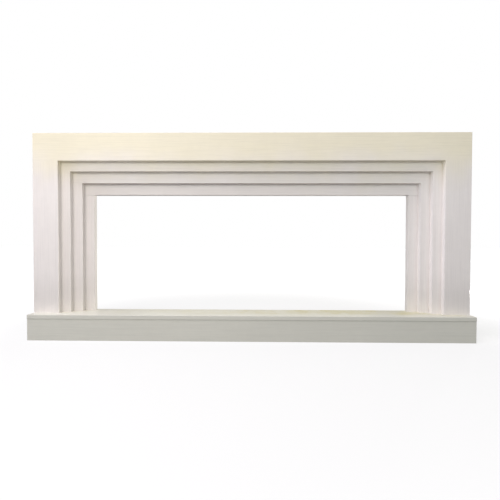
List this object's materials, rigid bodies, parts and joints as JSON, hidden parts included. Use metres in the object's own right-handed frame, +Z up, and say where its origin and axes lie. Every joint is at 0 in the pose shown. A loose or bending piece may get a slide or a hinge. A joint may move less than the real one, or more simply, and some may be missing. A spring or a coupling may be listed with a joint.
{
  "type": "fireplace mantelpiece",
  "caption": "Low, wide fireplace surround of painted boards that step back to a letterbox opening, on a shallow boxed hearth; it frames a wall fire and carries a narrow mantel ledge.",
  "frame": {"origin": "on the floor, in the middle of the hearth's footprint", "axes": "+X along the width to the viewer's right, +Y back towards the wall, +Z up; the front faces -Y"},
  "size_m": [1.99, 0.145, 0.936],
  "materials": {
    "surround_paint": "ivory eggshell paint on MDF board",
    "hearth_paint": "ivory satin paint on MDF board"
  },
  "bodies": {
    "root": {"hearth_slab": "hearth_paint", "hearth_front_riser": "hearth_paint", "hearth_end_left": "hearth_paint", "hearth_end_right": "hearth_paint", "hearth_back_rail": "hearth_paint", "outer_head": "surround_paint", "outer_jamb_left": "surround_paint", "outer_jamb_right": "surround_paint", "first_step_head": "surround_paint", "first_step_jamb_left": "surround_paint", "first_step_jamb_right": "surround_paint", "second_step_head": "surround_paint", "second_step_jamb_left": "surround_paint", "second_step_jamb_right": "surround_paint", "third_step_head": "surround_paint", "third_step_jamb_left": "surround_paint", "third_step_jamb_right": "surround_paint", "top_board": "surround_paint", "cheek_left": "surround_paint", "cheek_right": "surround_paint"}
  },
  "joints": []
}
